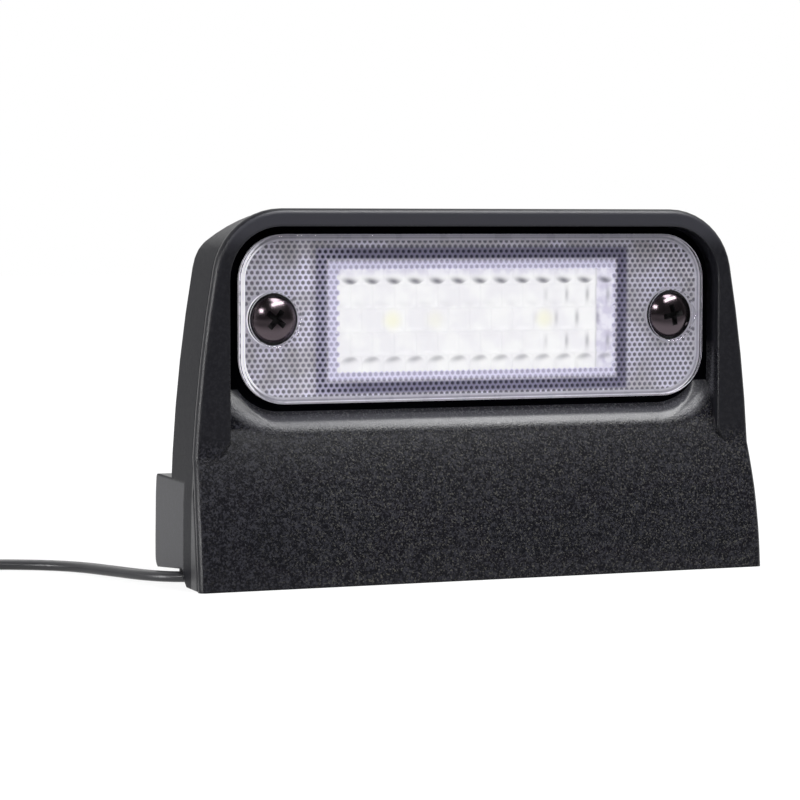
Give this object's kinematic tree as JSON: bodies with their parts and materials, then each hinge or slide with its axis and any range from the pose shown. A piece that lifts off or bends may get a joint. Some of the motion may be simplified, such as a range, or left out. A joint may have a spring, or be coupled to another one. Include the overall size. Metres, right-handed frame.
{
  "type": "number plate lamp",
  "caption": "Hooded number plate lamp: black housing on two screw feet, screwed clear lens with pillow optics over light diodes, flat two-core lead.",
  "frame": {"origin": "centre of the housing's footprint, on the base plane that meets the vehicle panel", "axes": "+Z away from the mounting panel, up in the picture; -Y the way the lens looks; +X to the lens's right as the picture shows it"},
  "size_m": [0.1743, 0.0525, 0.063],
  "materials": {
    "housing": "fine spark grain, satin",
    "lens": "clear, moulded optics on the inside",
    "seal": "matt",
    "screw": "black, glossy",
    "reflector": "white, satin",
    "board": "white solder resist",
    "led": "yellow phosphor in a white case",
    "component": "moulded resin",
    "capacitor": "fired ceramic, tan",
    "solder": "tinned",
    "core_plus": "insulation",
    "core_minus": "insulation",
    "grommet": "matt",
    "lead": "satin sheath",
    "tie": "coated tie"
  },
  "bodies": {
    "root": {"housing": "housing", "lens": "lens", "lens_seal": "seal", "lens_screw_left": "screw", "lens_screw_right": "screw", "reflector": "reflector", "led_board": "board", "led_outer_left": "led", "led_inner_left": "led", "led_inner_right": "led", "led_outer_right": "led", "driver_chip": "component", "polarity_diode": "component", "resistor_left": "component", "resistor_right": "component", "capacitor": "capacitor", "solder_joints": "solder", "core_plus": "core_plus", "core_minus": "core_minus", "lead_grommet": "grommet", "lead": "lead", "lead_coil": "lead", "coil_tie": "tie", "tail_core_plus": "core_plus", "tail_core_minus": "core_minus", "tail_tip_plus": "solder", "tail_tip_minus": "solder"}
  },
  "joints": []
}
